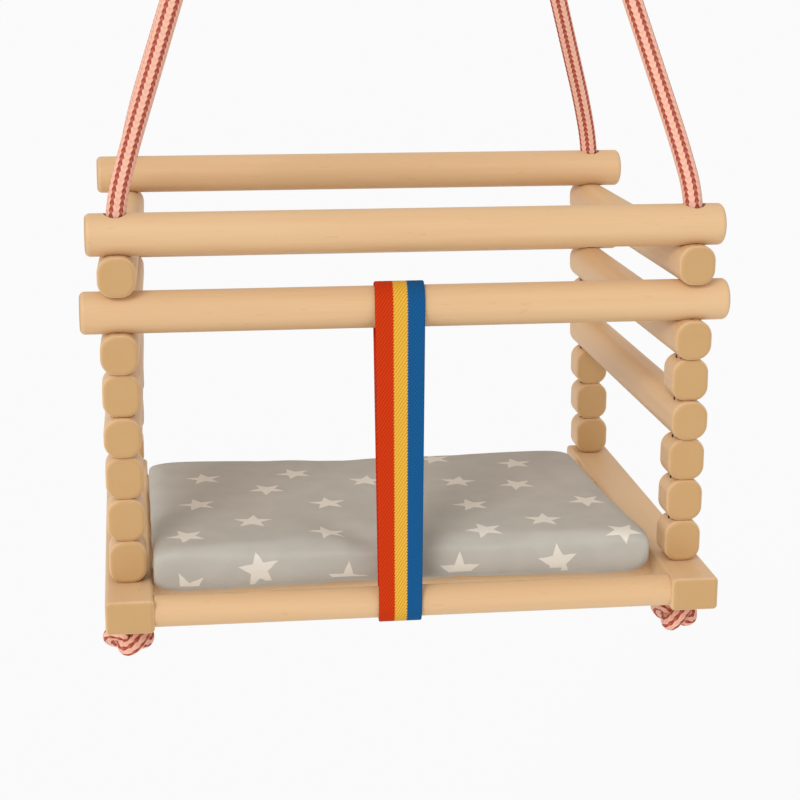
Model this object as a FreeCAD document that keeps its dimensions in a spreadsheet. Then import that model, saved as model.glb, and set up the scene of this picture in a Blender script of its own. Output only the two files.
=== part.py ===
# Wooden toddler swing: dowel rails and spacer beads threaded on four hanging ropes.
# Millimetres, +X to the right as seen from the front, +Y towards the back, +Z up, origin in the
# centre of the suspension ring.
import FreeCAD
import Part
import math
import os
import Sketcher

V = FreeCAD.Vector
doc = FreeCAD.newDocument("ToddlerSwing")
sheet = doc.addObject("Spreadsheet::Sheet", "Sizes")

SIZES = {
    # hanging height and rope columns
    "seat_drop": 820.0,  # ring centre down to the underside of the seat boards
    "column_x": 325.5,  # left to right distance between rope columns at the boards
    "front_spread": 1.8,  # how far a front column leans outwards up to its top rail
    "back_spread": -5.8,  # the same for a back column, which leans inwards
    "column_y": 235.0,  # front to back distance between rope columns
    "balance": 14.0,  # middle of the columns behind the ring, so that the empty seat hangs level
    "bore_dia": 13.0,
    "rope_dia": 10.5,
    # front and back rails
    "rail_dia": 24.0,
    "front_top_length": 363.0,
    "front_second_length": 371.5,
    "back_length": 354.0,
    "rail_round": 3.0,
    "saddle_depth": 1.5,  # how deep a crossing rail beds into a side rail
    # side rails and spacer beads
    "side_width": 21.6,
    "side_height": 23.0,
    "side_length": 262.0,
    "side_corner": 9.0,
    "bead_height": 25.0,
    "bead_length": 22.0,
    "bead_corner": 8.5,
    "end_round": 2.6,
    # seat
    "board_width": 27.5,
    "board_height": 19.5,
    "board_front": 42.5,  # reach of a board in front of the front column
    "board_back": 13.0,  # reach of a board behind the back column
    "board_round": 2.5,
    "seat_dowel_dia": 18.0,
    "tenon_dia": 12.0,
    "tenon_length": 8.0,
    "first_dowel": 31.5,  # front seat dowel in front of the front column
    "last_dowel": 26.0,  # back seat dowel in front of the back column
    # cushion
    "cushion_width": 292.0,
    "cushion_length": 193.0,
    "cushion_height": 21.5,
    "cushion_corner": 14.0,
    "cushion_edge": 9.0,
    "cushion_front": 14.9,  # front edge of the cushion in front of the front column
    "cushion_shift": -3.0,
    "cover_skin": 1.5,
    # strap
    "strap_width": 26.0,
    "strap_thick": 1.6,
    "strap_clear": 0.5,
    "strap_rest": -8.5,  # where the strap stands along the front rail, from the middle
    # knots under the boards
    "knot_dia": 27.0,
    "knot_height": 25.0,
    "knot_round": 9.0,
    # ring, eye and binding
    "ring_radius": 30.0,
    "ring_wire": 5.0,
    "eye_clear": 1.2,
    "cluster": 6.4,  # half spacing of the four ropes where they are bound
    "binding_top": 64.0,  # below the ring centre
    "binding_height": 36.0,
    "binding_dia": 37.0,
    "binding_round": 3.0,
    "running_gap": 0.3,
}

# Rope route above the rails, front (-1) and back (1): height above the board underside, and how
# far the rope has leaned in from its column towards the middle.
ROPE_BENDS = {-1: [(235.0, 0.0), (266.0, 10.5)], 1: [(235.0, 0.0), (266.0, 8.5)]}
ARC_SHARE = 0.45  # share of the shorter run that the tangent arc at a bend takes
ROPE_TRIM = 12.0  # rope drawn past its knot and its binding, then cut off level with each
VOLUME_TOLERANCE = 0.02  # of a rope's section times its length

SEAT_DOWELS = 6
BEADS_BELOW = 3  # spacer beads in each column between the board and the lower side rail
SIDES = [("left", -1), ("right", 1)]
CORNERS = [
    ("front_left", -1, -1),
    ("front_right", 1, -1),
    ("back_left", -1, 1),
    ("back_right", 1, 1),
]

for row, (alias, value) in enumerate(SIZES.items(), start=1):
    sheet.set("A%d" % row, alias)
    sheet.set("B%d" % row, str(value))
    sheet.setAlias("B%d" % row, alias)
doc.recompute()

# Heights above the underside of the boards, as expressions of the sheet's cells.
BOARD_TOP = "Sizes.board_height"
SIDE_3 = BOARD_TOP + " + %d * Sizes.bead_height" % BEADS_BELOW
BEAD_1 = SIDE_3 + " + Sizes.side_height"
SIDE_2 = BEAD_1 + " + Sizes.bead_height"
RAIL_2 = SIDE_2 + " + Sizes.side_height + Sizes.rail_dia / 2 - Sizes.saddle_depth"
SIDE_1 = RAIL_2 + " + Sizes.rail_dia / 2 - Sizes.saddle_depth"
RAIL_1 = SIDE_1 + " + Sizes.side_height + Sizes.rail_dia / 2 - Sizes.saddle_depth"
MIDDLE = "Sizes.balance"
FRONT = MIDDLE + " - Sizes.column_y / 2"
BACK = MIDDLE + " + Sizes.column_y / 2"


def size(alias):
    """Value of one sheet cell."""
    return float(sheet.get(alias))


def height_of(expression):
    """Value of a height expression in millimetres."""
    return float(doc.Sizes.evalExpression(expression.replace("Sizes.", "")))


def column_x(x_side, y_side, up):
    """Sideways place of a rope column at a height; the columns lean a little as they rise."""
    spread = "Sizes.front_spread" if y_side < 0 else "Sizes.back_spread"
    return "%d * (Sizes.column_x / 2 + %s * (%s) / (%s))" % (x_side, spread, up, RAIL_1)


def column_point(x_side, y_side, up):
    """Point on the middle line of a rope column at a height in millimetres."""
    x = height_of(column_x(x_side, y_side, up))
    y = size("balance") + size("column_y") / 2 * y_side
    return V(x, y, up - size("seat_drop"))


def place(obj, x=None, y=None, z=None, from_seat=True):
    """Bind an object's position to the sheet; z counts from the underside of the boards."""
    if x:
        obj.setExpression("Placement.Base.x", x)
    if y:
        obj.setExpression("Placement.Base.y", y)
    if z:
        obj.setExpression("Placement.Base.z", ("-Sizes.seat_drop + " if from_seat else "") + z)


def origin_plane(body, role):
    """One of a body's own origin planes."""
    return next(f for f in body.Origin.OriginFeatures if f.Role == role)


def new_body(label):
    body = doc.addObject("PartDesign::Body", label)
    body.Label = label
    return body


def new_sketch(body, role, name):
    sketch = body.newObject("Sketcher::SketchObject", name)
    sketch.AttachmentSupport = [(origin_plane(body, role), "")]
    sketch.MapMode = "FlatFace"
    return sketch


def add_circle(sketch, diameter, x=None, y=None):
    """A circle whose diameter and centre are bound to the sheet."""
    start = V(1.0 if x else 0.0, 1.0 if y else 0.0, 0)
    index = sketch.addGeometry(Part.Circle(start, V(0, 0, 1), 5.0), False)
    name = "d%d" % index
    dim = sketch.addConstraint(Sketcher.Constraint("Diameter", index, 10.0))
    sketch.renameConstraint(dim, name)
    sketch.setExpression("Constraints." + name, diameter)
    for axis, kind, expression in (("x", "DistanceX", x), ("y", "DistanceY", y)):
        if not expression:
            on_axis = -2 if axis == "x" else -1
            sketch.addConstraint(Sketcher.Constraint("PointOnObject", index, 3, on_axis))
            continue
        dim = sketch.addConstraint(Sketcher.Constraint(kind, -1, 1, index, 3, 1.0))
        sketch.renameConstraint(dim, axis + name)
        sketch.setExpression("Constraints." + axis + name, expression)


def add_rectangle(sketch, width, height):
    """A rectangle centred on the sketch origin, with both sizes bound to the sheet."""
    corners = [V(-5, -4, 0), V(5, -4, 0), V(5, 4, 0), V(-5, 4, 0)]
    for i in range(4):
        sketch.addGeometry(Part.LineSegment(corners[i], corners[(i + 1) % 4]), False)
    for i in range(4):
        sketch.addConstraint(Sketcher.Constraint("Coincident", i, 2, (i + 1) % 4, 1))
    for i, kind in enumerate(("Horizontal", "Vertical", "Horizontal", "Vertical")):
        sketch.addConstraint(Sketcher.Constraint(kind, i))
    sketch.addConstraint(Sketcher.Constraint("Symmetric", 0, 1, 2, 1, -1, 1))
    for line, kind, name, expression in (
        (0, "DistanceX", "width", width),
        (1, "DistanceY", "height", height),
    ):
        dim = sketch.addConstraint(Sketcher.Constraint(kind, line, 1, line, 2, 8.0))
        sketch.renameConstraint(dim, name)
        sketch.setExpression("Constraints." + name, expression)


def pad(body, sketch, length):
    """A pad to both sides of the sketch plane."""
    feature = body.newObject("PartDesign::Pad", "Pad")
    feature.Profile = sketch
    feature.Midplane = True
    feature.setExpression("Length", length)
    sketch.Visibility = False
    return feature


def pocket_through(body, sketch):
    """A cut right through the body, to both sides of the sketch plane."""
    feature = body.newObject("PartDesign::Pocket", "Pocket")
    feature.Profile = sketch
    feature.Midplane = True
    feature.Type = 1
    sketch.Visibility = False
    doc.recompute()
    return feature


def edges_where(feature, test):
    """Names of a feature's edges whose middle point and direction pass a test."""
    names = []
    for i, edge in enumerate(feature.Shape.Edges, start=1):
        middle = edge.valueAt((edge.FirstParameter + edge.LastParameter) / 2)
        if test(edge, middle):
            names.append("Edge%d" % i)
    return names


def fillet(body, feature, test, radius):
    """A fillet on the chosen edges, its radius bound to the sheet."""
    doc.recompute()
    rounded = body.newObject("PartDesign::Fillet", "Fillet")
    rounded.Base = (feature, edges_where(feature, test))
    rounded.setExpression("Radius", radius)
    doc.recompute()
    return rounded


def runs_along(axis):
    """Edge test: a straight edge parallel to an axis."""

    def test(edge, middle):
        ends = [v.Point for v in edge.Vertexes]
        return len(ends) == 2 and abs((ends[1] - ends[0]).normalize().dot(axis)) > 0.99

    return test


def lies_at(axis, distance):
    """Edge test: an edge in one of the two end planes at +-distance along an axis."""
    return lambda edge, middle: abs(abs(middle.dot(axis)) - distance) < 0.01


def make_rail(label, y_side, z, length):
    """A front or back rail: a rounded dowel with an upright bore for each rope."""
    body = new_body(label)
    sketch = new_sketch(body, "YZ_Plane", label + "_section")
    add_circle(sketch, "Sizes.rail_dia")
    dowel = pad(body, sketch, "Sizes." + length)
    half = size(length) / 2
    fillet(body, dowel, lies_at(V(1, 0, 0), half), "Sizes.rail_round")
    bores = new_sketch(body, "XY_Plane", label + "_bores")
    for _, x_side in SIDES:
        add_circle(bores, "Sizes.bore_dia", x=column_x(x_side, y_side, z))
    pocket_through(body, bores)
    place(body, y=FRONT if y_side < 0 else BACK, z=z)
    return body


def rounded_bar(label, height, length, corner):
    """A bar along Y with rounded long edges and eased ends, as side rails and beads have."""
    body = new_body(label)
    sketch = new_sketch(body, "XZ_Plane", label + "_section")
    add_rectangle(sketch, "Sizes.side_width", height)
    bar = pad(body, sketch, length)
    bar = fillet(body, bar, runs_along(V(0, 1, 0)), corner)
    half = size(length.replace("Sizes.", "")) / 2
    fillet(body, bar, lies_at(V(0, 1, 0), half), "Sizes.end_round")
    return body


def cut_saddles(body, label, turn, sides, dia):
    """Round seats along X across a turned side rail, where front and back rails bed into it."""
    sketch = new_sketch(body, "YZ_Plane", label + "_saddles_" + "".join(sides))
    sketch.AttachmentOffset = FreeCAD.Placement(V(0, 0, 0), FreeCAD.Rotation(V(0, 1, 0), 1))
    sketch.setExpression("AttachmentOffset.Rotation.Angle", "-1 * " + turn)
    reach = "(Sizes.side_height / 2 + Sizes.rail_dia / 2 - Sizes.saddle_depth)"
    for side in sides:
        up = reach if side == "top" else "-" + reach
        add_circle(sketch, dia, x="Sizes.column_y / 2", y=up)
        add_circle(sketch, dia, x="-Sizes.column_y / 2", y=up)
    pocket_through(body, sketch)


def make_side_rail(label, side, z, fixed_saddles, loose_saddles):
    """A side rail with bores for its front and back rope, turned to meet both columns."""
    middle = z + " + Sizes.side_height / 2"
    front_x, back_x = (column_x(side, y_side, middle) for y_side in (-1, 1))
    turn = "atan((%s - %s) / Sizes.column_y)" % (front_x, back_x)
    body = rounded_bar(label, "Sizes.side_height", "Sizes.side_length", "Sizes.side_corner")
    bores = new_sketch(body, "XY_Plane", label + "_bores")
    add_circle(bores, "Sizes.bore_dia", y="Sizes.column_y / 2")
    add_circle(bores, "Sizes.bore_dia", y="-Sizes.column_y / 2")
    pocket_through(body, bores)
    if fixed_saddles:
        cut_saddles(body, label, turn, fixed_saddles, "Sizes.rail_dia")
    if loose_saddles:
        cut_saddles(body, label, turn, loose_saddles, "Sizes.rail_dia + 2 * Sizes.running_gap")
    body.Placement.Rotation = FreeCAD.Rotation(V(0, 0, 1), 1)
    body.setExpression("Placement.Rotation.Angle", turn)
    place(body, x="(%s + %s) / 2" % (front_x, back_x), y=MIDDLE, z=middle)
    return body


def make_bead(label, x_side, y_side, z):
    """A short spacer bead with one bore."""
    body = rounded_bar(label, "Sizes.bead_height", "Sizes.bead_length", "Sizes.bead_corner")
    bore = new_sketch(body, "XY_Plane", label + "_bore")
    add_circle(bore, "Sizes.bore_dia")
    pocket_through(body, bore)
    middle = z + " + Sizes.bead_height / 2"
    y = FRONT if y_side < 0 else BACK
    place(body, x=column_x(x_side, y_side, middle), y=y, z=middle)
    return body


def dowel_place(index):
    """Distance of a seat dowel behind the front column; the dowels are evenly spaced."""
    step = "(Sizes.column_y - Sizes.last_dowel + Sizes.first_dowel) / %d" % (SEAT_DOWELS - 1)
    return "(-Sizes.first_dowel + %d * %s)" % (index, step)


def make_board(label, side):
    """A seat side board with rope bores and blind sockets for the seat dowels."""
    body = new_body(label)
    sketch = new_sketch(body, "XZ_Plane", label + "_section")
    add_rectangle(sketch, "Sizes.board_width", "Sizes.board_height")
    length = "Sizes.column_y + Sizes.board_front + Sizes.board_back"
    bar = pad(body, sketch, length)
    doc.recompute()
    fillet(body, bar, lambda edge, middle: True, "Sizes.board_round")
    shift = "(Sizes.board_back - Sizes.board_front) / 2"
    bores = new_sketch(body, "XY_Plane", label + "_bores")
    add_circle(bores, "Sizes.bore_dia", y="Sizes.column_y / 2 - " + shift)
    add_circle(bores, "Sizes.bore_dia", y="-Sizes.column_y / 2 - " + shift)
    pocket_through(body, bores)
    sockets = new_sketch(body, "YZ_Plane", label + "_sockets")
    for i in range(SEAT_DOWELS):
        y = "-Sizes.column_y / 2 - %s + %s" % (shift, dowel_place(i))
        add_circle(sockets, "Sizes.tenon_dia", x=y)
    floor = "-%d * (Sizes.board_width / 2 - Sizes.tenon_length)" % side
    sockets.setExpression("AttachmentOffset.Base.z", floor)
    cut = body.newObject("PartDesign::Pocket", "Sockets")
    cut.Profile = sockets
    cut.Reversed = side < 0
    cut.setExpression("Length", "Sizes.tenon_length + 1")
    doc.recompute()
    x = "%d * Sizes.column_x / 2" % side
    place(body, x=x, y=MIDDLE + " + " + shift, z="Sizes.board_height / 2")
    return body


def make_seat_dowel(label, index):
    """A seat dowel with a turned tenon at each end."""
    body = new_body(label)
    span = "Sizes.column_x - Sizes.board_width"
    sketch = new_sketch(body, "YZ_Plane", label + "_section")
    add_circle(sketch, "Sizes.seat_dowel_dia")
    pad(body, sketch, span)
    tenon = new_sketch(body, "YZ_Plane", label + "_tenon")
    add_circle(tenon, "Sizes.tenon_dia")
    pad(body, tenon, span + " + 2 * Sizes.tenon_length")
    place(body, y=FRONT + " + " + dowel_place(index), z="Sizes.board_height / 2")
    return body


def rounded_slab(name, inset):
    """A flat slab with round corners and round edges, smaller by an inset on every side."""
    box = doc.addObject("Part::Box", name + "_block")
    for prop, alias in (
        ("Length", "cushion_width"),
        ("Width", "cushion_length"),
        ("Height", "cushion_height"),
    ):
        box.setExpression(prop, "Sizes.%s - 2 * %s" % (alias, inset))
    doc.recompute()
    upright = [
        (i, size("cushion_corner"), size("cushion_corner"))
        for i, edge in enumerate(box.Shape.Edges, start=1)
        if runs_along(V(0, 0, 1))(edge, None)
    ]
    corners = doc.addObject("Part::Fillet", name + "_corners")
    corners.Base = box
    corners.Edges = upright
    doc.recompute()
    edge_radius = size("cushion_edge")
    level = [
        (i, edge_radius, edge_radius)
        for i, edge in enumerate(corners.Shape.Edges, start=1)
        if abs(edge.Vertexes[0].Z - edge.Vertexes[-1].Z) < 0.01
    ]
    slab = doc.addObject("Part::Fillet", name + "_slab")
    slab.Base = corners
    slab.Edges = level
    doc.recompute()
    return slab


def place_slab(obj, inset):
    """Put a slab's low corner where the cushion lies, just behind the strap."""
    place(
        obj,
        x="Sizes.cushion_shift - Sizes.cushion_width / 2 + %s" % inset,
        y=FRONT + " - Sizes.cushion_front + %s" % inset,
        z="Sizes.board_height + %s" % inset,
    )


def make_cushion():
    """Cushion cover, a closed fabric skin, and the foam pad that fills it."""
    outer = rounded_slab("cover_outside", "0")
    inner = rounded_slab("cover_inside", "Sizes.cover_skin")
    inner.setExpression("Placement.Base.x", "Sizes.cover_skin")
    inner.setExpression("Placement.Base.y", "Sizes.cover_skin")
    inner.setExpression("Placement.Base.z", "Sizes.cover_skin")
    cover = doc.addObject("Part::Cut", "cushion_cover")
    cover.Base = outer
    cover.Tool = inner
    place_slab(cover, "0")
    foam = rounded_slab("foam", "Sizes.cover_skin")
    foam.Label = "cushion_foam"
    place_slab(foam, "Sizes.cover_skin")
    return [cover, foam]


def tangent_loop(centre_a, radius_a, centre_b, radius_b):
    """Closed outline of a band around two round bars, drawn in the YZ plane."""
    axis = centre_b - centre_a
    along = V(axis).normalize()
    across = V(0, -along.z, along.y)
    lean = (radius_a - radius_b) / axis.Length
    spread = math.sqrt(1 - lean * lean)
    edges = []
    sides = [across * s * spread + along * lean for s in (1, -1)]
    a1, a2 = (centre_a + n * radius_a for n in sides)
    b1, b2 = (centre_b + n * radius_b for n in sides)
    edges.append(Part.LineSegment(a1, b1).toShape())
    edges.append(Part.Arc(b1, centre_b + along * radius_b, b2).toShape())
    edges.append(Part.LineSegment(b2, a2).toShape())
    edges.append(Part.Arc(a2, centre_a - along * radius_a, a1).toShape())
    return Part.Face(Part.Wire(edges))


def make_strap():
    """The webbing loop around the second front rail and the front seat dowel."""
    front = size("balance") - size("column_y") / 2
    high = V(0, front, height_of(RAIL_2) - size("seat_drop"))
    low = V(0, front - size("first_dowel"), size("board_height") / 2 - size("seat_drop"))
    radii = [size("rail_dia") / 2, size("seat_dowel_dia") / 2]
    inner = [r + size("strap_clear") for r in radii]
    outer = [r + size("strap_thick") for r in inner]
    band = tangent_loop(high, outer[0], low, outer[1]).cut(
        tangent_loop(high, inner[0], low, inner[1])
    )
    width = size("strap_width")
    strap = doc.addObject("Part::Feature", "strap")
    strap.Shape = band.Faces[0].extrude(V(width, 0, 0))
    strap.setExpression("Placement.Base.x", "Sizes.strap_rest - Sizes.strap_width / 2")
    return strap


def smooth_wire(points):
    """Straight runs joined by tangent arcs through a list of route points."""
    edges = []
    start = points[0]
    for before, corner, after in zip(points, points[1:], points[2:]):
        back = (before - corner).normalize()
        ahead = (after - corner).normalize()
        half_turn = (math.pi - back.getAngle(ahead)) / 2
        reach = ARC_SHARE * min((before - corner).Length, (after - corner).Length)
        radius = reach / math.tan(half_turn)
        bisector = (back + ahead).normalize()
        centre = corner + bisector * (radius / math.cos(half_turn))
        arc_start = corner + back * reach
        arc_end = corner + ahead * reach
        edges.append(Part.LineSegment(start, arc_start).toShape())
        middle = centre - bisector * radius
        edges.append(Part.Arc(arc_start, middle, arc_end).toShape())
        start = arc_end
    edges.append(Part.LineSegment(start, points[-1]).toShape())
    return Part.Wire(edges)


def bend_radii(wire):
    """Radius of every arc along a smooth wire, in order."""
    return [round(e.Curve.Radius, 1) for e in wire.OrderedEdges if hasattr(e.Curve, "Radius")]


def round_tube(wire, diameter):
    """A solid rope along a smooth wire, checked by its volume."""
    first = wire.OrderedEdges[0]
    start = wire.OrderedVertexes[0].Point
    section = Part.Wire(Part.makeCircle(diameter / 2, start, first.tangentAt(first.FirstParameter)))
    tube = wire.makePipeShell([section], True, False)
    expected = math.pi * diameter**2 / 4 * wire.Length
    if abs(tube.Volume / expected - 1) > VOLUME_TOLERANCE:
        raise ValueError("rope volume does not match its length")
    return tube


def make_rope(label, x_side, y_side):
    """One rope: from its knot under the seat, up its column and in to the binding."""
    bottom = column_point(x_side, y_side, 0.0)
    bends = []
    for up, lean in ROPE_BENDS[y_side]:
        on_column = column_point(x_side, y_side, up)
        bends.append(on_column + V(-on_column.x, -on_column.y, 0).normalize() * lean)
    top_z = -size("binding_top") - size("binding_height")
    top = V(size("cluster") * x_side, size("cluster") * y_side, top_z)
    past_bottom = bottom + (bottom - bends[0]).normalize() * ROPE_TRIM
    past_top = top + (top - bends[-1]).normalize() * ROPE_TRIM
    wire = smooth_wire([past_bottom] + bends + [past_top])
    reach = size("seat_drop")
    between = Part.makeBox(2 * reach, 2 * reach, top_z - bottom.z, V(-reach, -reach, bottom.z))
    rope = doc.addObject("Part::Feature", label)
    rope.Shape = round_tube(wire, size("rope_dia")).common(between)
    print(label, "length", round(wire.Length - 2 * ROPE_TRIM, 1), "bend radii", bend_radii(wire))
    return rope


def make_knot(label, x_side, y_side):
    """The stopper knot that holds a board up: a plump round lump on the end of the rope."""
    body = new_body(label)
    sketch = new_sketch(body, "XY_Plane", label + "_section")
    add_circle(sketch, "Sizes.knot_dia")
    lump = pad(body, sketch, "Sizes.knot_height")
    half = size("knot_height") / 2
    fillet(body, lump, lies_at(V(0, 0, 1), half), "Sizes.knot_round")
    place(
        body,
        x="%d * Sizes.column_x / 2" % x_side,
        y=BACK if y_side > 0 else FRONT,
        z="-Sizes.knot_height / 2",
    )
    return body


def make_ring():
    """The round steel ring the swing hangs from, standing in the XZ plane."""
    ring = doc.addObject("Part::Torus", "suspension_ring")
    ring.setExpression("Radius1", "Sizes.ring_radius")
    ring.setExpression("Radius2", "Sizes.ring_wire")
    ring.Placement.Rotation = FreeCAD.Rotation(V(1, 0, 0), 90)
    return ring


def make_eye():
    """Two rope bights side by side over the ring's wire, closing in to the binding."""
    reach = size("ring_wire") + size("eye_clear") + size("rope_dia") / 2
    spread = size("cluster")
    wire_z = -math.sqrt(size("ring_radius") ** 2 - spread**2)
    bottom = -size("binding_top")
    third = V(0, 0, (bottom - wire_z) / 3)
    bights = []
    for x_side in (-1, 1):
        x = spread * x_side
        crown = V(x, 0, wire_z + reach)
        front_top = V(x, -reach, wire_z)
        back_top = V(x, reach, wire_z)
        foot = V(x, -spread, bottom)
        leg = smooth_wire([front_top, front_top + third, foot - third, foot])
        back = leg.mirror(V(0, 0, 0), V(0, 1, 0))
        arch = Part.Arc(front_top, crown, back_top).toShape()
        path = Part.Wire(Part.__sortEdges__(leg.Edges + [arch] + back.Edges))
        bights.append(round_tube(path, size("rope_dia")))
    eye = doc.addObject("Part::Feature", "rope_eye")
    eye.Shape = Part.makeCompound(bights)
    return eye


def make_binding():
    """The whipping that ties the four ropes together under the ring."""
    body = new_body("rope_binding")
    sketch = new_sketch(body, "XY_Plane", "binding_section")
    add_circle(sketch, "Sizes.binding_dia")
    wrap = pad(body, sketch, "Sizes.binding_height")
    half = size("binding_height") / 2
    fillet(body, wrap, lies_at(V(0, 0, 1), half), "Sizes.binding_round")
    place(body, z="-Sizes.binding_top - Sizes.binding_height / 2", from_seat=False)
    return body


parts = [
    make_rail("front_top_rail", -1, RAIL_1, "front_top_length"),
    make_rail("front_second_rail", -1, RAIL_2, "front_second_length"),
    make_rail("back_top_rail", 1, RAIL_1, "back_length"),
    make_rail("back_second_rail", 1, RAIL_2, "back_length"),
]
for side_name, side in SIDES:
    parts.append(make_side_rail(side_name + "_side_rail_top", side, SIDE_1, ["bottom"], ["top"]))
    parts.append(make_side_rail(side_name + "_side_rail_middle", side, SIDE_2, ["top"], []))
    parts.append(make_side_rail(side_name + "_side_rail_lower", side, SIDE_3, [], []))
    parts.append(make_board(side_name + "_seat_board", side))
for i in range(SEAT_DOWELS):
    parts.append(make_seat_dowel("seat_dowel_%d" % (i + 1), i))
for corner, x_side, y_side in CORNERS:
    parts.append(make_bead("bead_%s_1" % corner, x_side, y_side, BEAD_1))
    for row in range(BEADS_BELOW):
        up = BOARD_TOP + " + %d * Sizes.bead_height" % (BEADS_BELOW - 1 - row)
        parts.append(make_bead("bead_%s_%d" % (corner, row + 2), x_side, y_side, up))
    parts.append(make_rope("rope_" + corner, x_side, y_side))
    parts.append(make_knot("knot_" + corner, x_side, y_side))
parts += make_cushion()
parts.append(make_strap())
parts.append(make_ring())
parts.append(make_eye())
parts.append(make_binding())

doc.recompute()
for obj in doc.Objects:
    if "Invalid" in obj.State or "Error" in obj.State:
        raise ValueError("%s did not recompute: %s" % (obj.Label, obj.State))
os.makedirs("parts", exist_ok=True)
for obj in parts:
    if obj.Shape.isNull() or not obj.Shape.isValid():
        raise ValueError("%s has no valid shape" % obj.Label)
    obj.Shape.exportStep(os.path.join("parts", obj.Label + ".step"))
print(len(parts), "nodes written")
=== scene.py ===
"""Wooden toddler swing: its looks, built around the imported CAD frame, in metres."""

import math

import bmesh
import bpy
import numpy as np
from mathutils import Matrix, Vector


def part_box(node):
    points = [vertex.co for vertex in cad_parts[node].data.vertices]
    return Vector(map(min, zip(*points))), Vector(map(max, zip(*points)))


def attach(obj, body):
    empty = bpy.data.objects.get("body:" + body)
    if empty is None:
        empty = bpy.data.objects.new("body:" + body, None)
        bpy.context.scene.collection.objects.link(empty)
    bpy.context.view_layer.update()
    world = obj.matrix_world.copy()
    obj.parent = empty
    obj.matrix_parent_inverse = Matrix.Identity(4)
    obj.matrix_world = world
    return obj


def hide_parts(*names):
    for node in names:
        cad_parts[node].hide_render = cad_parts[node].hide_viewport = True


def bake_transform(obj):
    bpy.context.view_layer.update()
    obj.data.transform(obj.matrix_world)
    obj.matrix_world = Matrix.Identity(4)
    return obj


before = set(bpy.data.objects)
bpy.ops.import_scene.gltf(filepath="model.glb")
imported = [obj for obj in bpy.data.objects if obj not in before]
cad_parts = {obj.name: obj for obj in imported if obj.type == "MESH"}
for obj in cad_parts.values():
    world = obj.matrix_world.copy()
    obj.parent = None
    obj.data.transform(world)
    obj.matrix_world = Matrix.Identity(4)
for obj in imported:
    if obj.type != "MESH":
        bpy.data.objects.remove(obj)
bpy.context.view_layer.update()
scene = bpy.context.scene


# ---- camera ----

# The camera stands in front of the swing, a little to its left and above the seat.
CAMERA_PLACE = (-0.1573, -1.2223, -0.4075)
CAMERA_YAW, CAMERA_PITCH, CAMERA_ROLL = 0.1352, 0.2529, 0.0049
CAMERA_LENS, CAMERA_SENSOR = 91.1, 36.0  # millimetres


def make_camera():
    """A camera at the photograph's viewing angle."""
    forward = Vector(
        (
            math.sin(CAMERA_YAW) * math.cos(CAMERA_PITCH),
            math.cos(CAMERA_YAW) * math.cos(CAMERA_PITCH),
            -math.sin(CAMERA_PITCH),
        )
    )
    right = Vector((math.cos(CAMERA_YAW), -math.sin(CAMERA_YAW), 0))
    turn = Matrix((right, right.cross(forward), -forward)).transposed()
    turn = turn @ Matrix.Rotation(CAMERA_ROLL, 3, "Z")
    data = bpy.data.cameras.new("camera")
    data.lens = CAMERA_LENS
    data.sensor_width = CAMERA_SENSOR
    camera = bpy.data.objects.new("camera", data)
    camera.matrix_world = Matrix.Translation(CAMERA_PLACE) @ turn.to_4x4()
    scene.collection.objects.link(camera)
    scene.camera = camera


# ---- lines and meshes ----


def add_mesh(name, verts, faces, uv_name=None, uvs=()):
    """A new smooth mesh object from points and faces, with a UV map if it is given one."""
    mesh = bpy.data.meshes.new(name)
    mesh.from_pydata([tuple(v) for v in verts], [], faces)
    if uv_name:
        layer = mesh.uv_layers.new(name=uv_name)
        layer.data.foreach_set("uv", np.array(uvs, np.float32).ravel())
    mesh.validate()
    mesh.shade_smooth()
    obj = bpy.data.objects.new(name, mesh)
    scene.collection.objects.link(obj)
    return obj


def ring_quads(rings, around):
    """Faces that join each ring of points to the next one."""
    quads = []
    for i in range(rings - 1):
        near, far = i * around, (i + 1) * around
        for j in range(around):
            k = (j + 1) % around
            quads.append((near + j, near + k, far + k, far + j))
    return quads


def read_points(obj):
    """The points of an object's mesh, one to a row."""
    points = np.empty(len(obj.data.vertices) * 3, np.float32)
    obj.data.vertices.foreach_get("co", points)
    return points.reshape(-1, 3).astype(float)


def write_points(obj, points):
    """Move the points of an object's mesh."""
    obj.data.vertices.foreach_set("co", points.astype(np.float32).ravel())
    obj.data.update()


def spline_through(points):
    """The line of one open NURBS curve with these control points."""
    curve = bpy.data.curves.new("route", "CURVE")
    curve.dimensions = "3D"
    curve.resolution_u = 32
    spline = curve.splines.new("NURBS")
    spline.points.add(len(points) - 1)
    for knot, point in zip(spline.points, points):
        knot.co = (*point, 1.0)
    spline.order_u = 3
    spline.use_endpoint_u = True
    obj = bpy.data.objects.new("route", curve)
    mesh = bpy.data.meshes.new_from_object(obj)
    line = np.array([v.co for v in mesh.vertices], float)
    bpy.data.objects.remove(obj)
    bpy.data.curves.remove(curve)
    bpy.data.meshes.remove(mesh)
    return line


def line_length(line):
    """Length of a line of points."""
    return float(np.linalg.norm(np.diff(line, axis=0), axis=1).sum())


def evenly(line, step):
    """Points at even spacing along a line, and how far along it each one lies."""
    lengths = np.concatenate([[0], np.cumsum(np.linalg.norm(np.diff(line, axis=0), axis=1))])
    count = max(2, int(round(lengths[-1] / step)) + 1)
    along = np.linspace(0, lengths[-1], count)
    points = np.stack([np.interp(along, lengths, line[:, i]) for i in range(3)], 1)
    return points, along


def carried_frames(points):
    """Two directions across a line at each of its points, carried along without twisting."""
    tangents = np.gradient(points, axis=0)
    tangents /= np.linalg.norm(tangents, axis=1)[:, None]
    side = np.array([1.0, 0.0, 0.0])
    sides = []
    for tangent in tangents:
        side = side - side.dot(tangent) * tangent
        side = side / np.linalg.norm(side)
        sides.append(side)
    sides = np.array(sides)
    return sides, np.cross(tangents, sides)


# ---- knitted rope ----

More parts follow.
